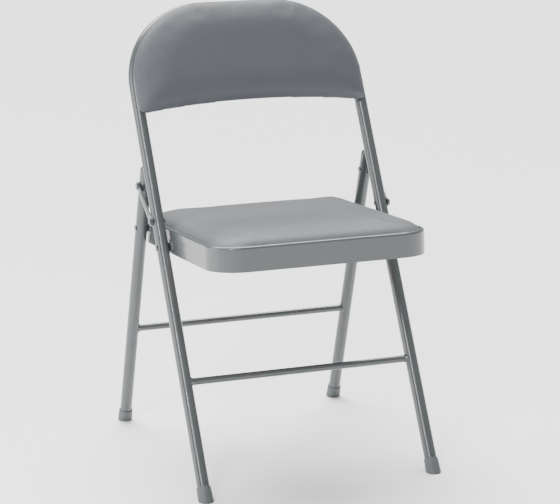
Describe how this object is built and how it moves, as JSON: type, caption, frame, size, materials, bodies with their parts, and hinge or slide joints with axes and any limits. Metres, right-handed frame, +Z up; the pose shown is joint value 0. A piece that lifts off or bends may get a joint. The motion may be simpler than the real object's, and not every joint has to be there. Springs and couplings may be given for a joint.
{
  "type": "folding chair",
  "caption": "Padded folding chair with a bent tube frame, stamped seat pan, splayed rear legs and side links that fold it flat.",
  "frame": {"origin": "on the floor, under the middle of the open chair's bounding box", "axes": "+Z up, -Y the way the sitter faces, +X to the right seen from the front"},
  "size_m": [0.4596, 0.5164, 0.7952],
  "materials": {
    "frame_paint": "semi-gloss powder coat, mid grey",
    "rivet_paint": "painted steel rivet, slightly worn",
    "vinyl": "soft grey upholstery vinyl with a fine grain",
    "foam": "open cell foam",
    "board": "plain hardboard",
    "foot_plastic": "moulded grey plastic",
    "washer_plastic": "nylon washer",
    "fastener": "zinc plated"
  },
  "bodies": {
    "front_frame": {"front_frame_tube": "frame_paint", "front_crossbar": "frame_paint", "front_crossbar_welds": "frame_paint", "front_foot_cap_left": "foot_plastic", "front_foot_cap_right": "foot_plastic", "back_liner": "vinyl", "back_board": "board", "back_foam": "foam", "back_cover": "vinyl", "back_screws": "fastener", "seat_hinge_rivets": "rivet_paint", "seat_hinge_washers": "washer_plastic", "frame_link_rivets": "rivet_paint"},
    "seat": {"seat_pan": "frame_paint", "seat_bracket_left": "frame_paint", "seat_bracket_right": "frame_paint", "seat_board": "board", "seat_foam": "foam", "seat_cover": "vinyl", "seat_screws": "fastener"},
    "rear_legs": {"rear_leg_left": "frame_paint", "rear_leg_right": "frame_paint", "rear_crossbar": "frame_paint", "rear_crossbar_welds": "frame_paint", "rear_foot_cap_left": "foot_plastic", "rear_foot_cap_right": "foot_plastic", "leg_hinge_rivets": "rivet_paint", "leg_hinge_washers": "washer_plastic", "leg_link_studs": "rivet_paint"},
    "link_left": {"link_left": "frame_paint", "link_rivet_left": "rivet_paint"},
    "link_right": {"link_right": "frame_paint", "link_rivet_right": "rivet_paint"}
  },
  "joints": [
    {"name": "seat_fold", "type": "hinge", "parent": "front_frame", "child": "seat", "pos_m": [0, -0.006, 0.3947], "axis": [-1, 0, 0], "range_deg": [0, 112.81]},
    {"name": "rear_leg_fold", "type": "hinge", "parent": "seat", "child": "rear_legs", "pos_m": [0, 0.12007, 0.4032], "axis": [1, 0, 0], "range_deg": [0, 65.61]},
    {"name": "link_fold_left", "type": "hinge", "parent": "front_frame", "child": "link_left", "pos_m": [0, 0.01856, 0.4374], "axis": [-1, 0, 0], "range_deg": [0, 137.14]},
    {"name": "link_fold_right", "type": "hinge", "parent": "front_frame", "child": "link_right", "pos_m": [0, 0.01856, 0.4374], "axis": [-1, 0, 0], "range_deg": [0, 137.14]}
  ],
  "couplings": [
    {"joint": "rear_leg_fold", "follows": "seat_fold", "ratio": 0.58115},
    {"joint": "link_fold_left", "follows": "seat_fold", "ratio": 1.2153},
    {"joint": "link_fold_right", "follows": "seat_fold", "ratio": 1.2153}
  ]
}
